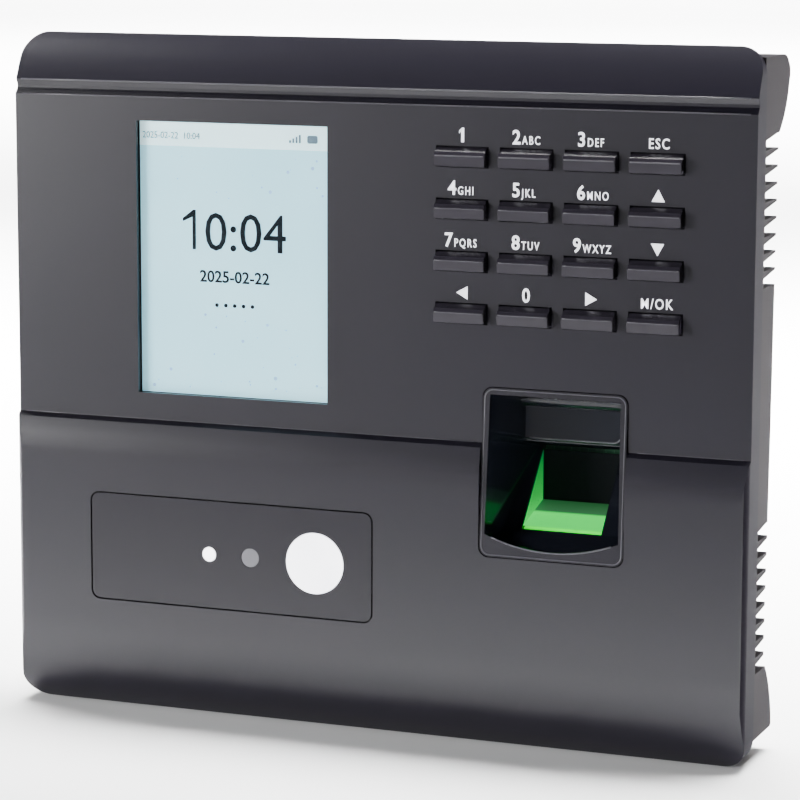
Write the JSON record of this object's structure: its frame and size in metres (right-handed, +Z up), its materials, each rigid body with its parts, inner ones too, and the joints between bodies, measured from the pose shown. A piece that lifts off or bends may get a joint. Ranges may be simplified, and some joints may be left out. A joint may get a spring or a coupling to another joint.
{
  "type": "fingerprint scanner terminal",
  "caption": "Wall-mounted fingerprint access terminal with colour screen, numeric keypad, camera window, optical finger sensor, slotted rear cover and hook-on steel wall plate.",
  "frame": {"origin": "on the back face of the wall plate, behind the middle of the housing", "axes": "+Z up, +X to the right seen from the front, -Y out of the wall through the front panel"},
  "size_m": [0.1676, 0.0322, 0.1488],
  "materials": {
    "shell": "dark purple-grey, semi-matte, fine texture",
    "cover": "lighter warm grey, fine texture",
    "gloss_black": "piano black",
    "window_plastic": "smoked, semi-gloss",
    "screen_glass": "clear cover sheet",
    "display": "lit pale cyan display",
    "white_diffuser": "milky, glossy",
    "dark_glass": "coated lens",
    "prism_glass": "clear prism lit green from below",
    "steel": "zinc-plated sheet",
    "screw_steel": "black-zinc screws",
    "board": "green solder mask on glass-fibre laminate",
    "chip": "moulded black",
    "tinned": "tinned plate",
    "rubber": "silicone",
    "foam": "closed-cell foam",
    "key_plastic": "dark, slightly glossier than the shell",
    "white_plastic": "white reflector plastic",
    "green_plastic": "green terminal housing",
    "black_plastic": "black moulding",
    "orange_film": "polyimide film",
    "led": "surface-mount lamp",
    "green_led": "green lamp",
    "relay_blue": "blue relay case"
  },
  "bodies": {
    "wall_mount": {"wall_plate": "steel", "security_screw": "screw_steel"},
    "housing": {"front_shell": "shell", "rear_cover": "cover", "lcd_window": "screen_glass", "lcd_gasket": "foam", "lcd_panel": "display", "lcd_backlight": "white_plastic", "lcd_bracket": "steel", "camera_window": "window_plastic", "fill_light_diffuser": "white_diffuser", "fill_light_leds": "led", "camera_board": "board", "colour_camera": "chip", "colour_camera_lens": "dark_glass", "infrared_camera": "chip", "infrared_camera_lens": "dark_glass", "infrared_leds": "dark_glass", "sensor_bezel": "gloss_black", "sensor_prism": "prism_glass", "sensor_light_guide": "prism_glass", "sensor_carrier": "black_plastic", "sensor_lens": "dark_glass", "sensor_led_board": "board", "sensor_leds": "green_led", "sensor_camera_board": "board", "keypad_mat": "rubber", "keypad_board": "board", "main_board": "board", "main_chips": "chip", "lock_relay": "relay_blue", "coin_cell": "tinned", "rj45_socket": "tinned", "usb_socket": "tinned", "dc_jack": "black_plastic", "terminal_block": "green_plastic", "ribbon_cables": "orange_film", "speaker": "black_plastic", "tamper_switch": "black_plastic", "reset_switch": "black_plastic", "case_screws": "screw_steel", "inner_screws": "screw_steel"},
    "key_1_body": {"key_1": "key_plastic"},
    "key_2_body": {"key_2": "key_plastic"},
    "key_3_body": {"key_3": "key_plastic"},
    "key_esc_body": {"key_esc": "key_plastic"},
    "key_4_body": {"key_4": "key_plastic"},
    "key_5_body": {"key_5": "key_plastic"},
    "key_6_body": {"key_6": "key_plastic"},
    "key_up_body": {"key_up": "key_plastic"},
    "key_7_body": {"key_7": "key_plastic"},
    "key_8_body": {"key_8": "key_plastic"},
    "key_9_body": {"key_9": "key_plastic"},
    "key_down_body": {"key_down": "key_plastic"},
    "key_left_body": {"key_left": "key_plastic"},
    "key_0_body": {"key_0": "key_plastic"},
    "key_right_body": {"key_right": "key_plastic"},
    "key_ok_body": {"key_ok": "key_plastic"},
    "tamper_plunger_body": {"tamper_plunger": "white_plastic"},
    "reset_button_body": {"reset_button": "white_plastic"}
  },
  "joints": [
    {"name": "hang_slide", "type": "slide", "parent": "wall_mount", "child": "housing", "axis": [0, 0, 1], "range_m": [0, 0.008]},
    {"name": "key_1_press", "type": "slide", "parent": "housing", "child": "key_1_body", "axis": [0, 1, 0], "range_m": [0, 0.0008], "stiffness_N_per_m": 450, "springref_m": -0.0006},
    {"name": "key_2_press", "type": "slide", "parent": "housing", "child": "key_2_body", "axis": [0, 1, 0], "range_m": [0, 0.0008], "stiffness_N_per_m": 450, "springref_m": -0.0006},
    {"name": "key_3_press", "type": "slide", "parent": "housing", "child": "key_3_body", "axis": [0, 1, 0], "range_m": [0, 0.0008], "stiffness_N_per_m": 450, "springref_m": -0.0006},
    {"name": "key_esc_press", "type": "slide", "parent": "housing", "child": "key_esc_body", "axis": [0, 1, 0], "range_m": [0, 0.0008], "stiffness_N_per_m": 450, "springref_m": -0.0006},
    {"name": "key_4_press", "type": "slide", "parent": "housing", "child": "key_4_body", "axis": [0, 1, 0], "range_m": [0, 0.0008], "stiffness_N_per_m": 450, "springref_m": -0.0006},
    {"name": "key_5_press", "type": "slide", "parent": "housing", "child": "key_5_body", "axis": [0, 1, 0], "range_m": [0, 0.0008], "stiffness_N_per_m": 450, "springref_m": -0.0006},
    {"name": "key_6_press", "type": "slide", "parent": "housing", "child": "key_6_body", "axis": [0, 1, 0], "range_m": [0, 0.0008], "stiffness_N_per_m": 450, "springref_m": -0.0006},
    {"name": "key_up_press", "type": "slide", "parent": "housing", "child": "key_up_body", "axis": [0, 1, 0], "range_m": [0, 0.0008], "stiffness_N_per_m": 450, "springref_m": -0.0006},
    {"name": "key_7_press", "type": "slide", "parent": "housing", "child": "key_7_body", "axis": [0, 1, 0], "range_m": [0, 0.0008], "stiffness_N_per_m": 450, "springref_m": -0.0006},
    {"name": "key_8_press", "type": "slide", "parent": "housing", "child": "key_8_body", "axis": [0, 1, 0], "range_m": [0, 0.0008], "stiffness_N_per_m": 450, "springref_m": -0.0006},
    {"name": "key_9_press", "type": "slide", "parent": "housing", "child": "key_9_body", "axis": [0, 1, 0], "range_m": [0, 0.0008], "stiffness_N_per_m": 450, "springref_m": -0.0006},
    {"name": "key_down_press", "type": "slide", "parent": "housing", "child": "key_down_body", "axis": [0, 1, 0], "range_m": [0, 0.0008], "stiffness_N_per_m": 450, "springref_m": -0.0006},
    {"name": "key_left_press", "type": "slide", "parent": "housing", "child": "key_left_body", "axis": [0, 1, 0], "range_m": [0, 0.0008], "stiffness_N_per_m": 450, "springref_m": -0.0006},
    {"name": "key_0_press", "type": "slide", "parent": "housing", "child": "key_0_body", "axis": [0, 1, 0], "range_m": [0, 0.0008], "stiffness_N_per_m": 450, "springref_m": -0.0006},
    {"name": "key_right_press", "type": "slide", "parent": "housing", "child": "key_right_body", "axis": [0, 1, 0], "range_m": [0, 0.0008], "stiffness_N_per_m": 450, "springref_m": -0.0006},
    {"name": "key_ok_press", "type": "slide", "parent": "housing", "child": "key_ok_body", "axis": [0, 1, 0], "range_m": [0, 0.0008], "stiffness_N_per_m": 450, "springref_m": -0.0006},
    {"name": "tamper_travel", "type": "slide", "parent": "housing", "child": "tamper_plunger_body", "axis": [0, -1, 0], "range_m": [0, 0.0008], "stiffness_N_per_m": 150, "springref_m": -0.0008},
    {"name": "reset_press", "type": "slide", "parent": "housing", "child": "reset_button_body", "axis": [0, 0, 1], "range_m": [0, 0.0006], "stiffness_N_per_m": 400, "springref_m": -0.0004}
  ]
}
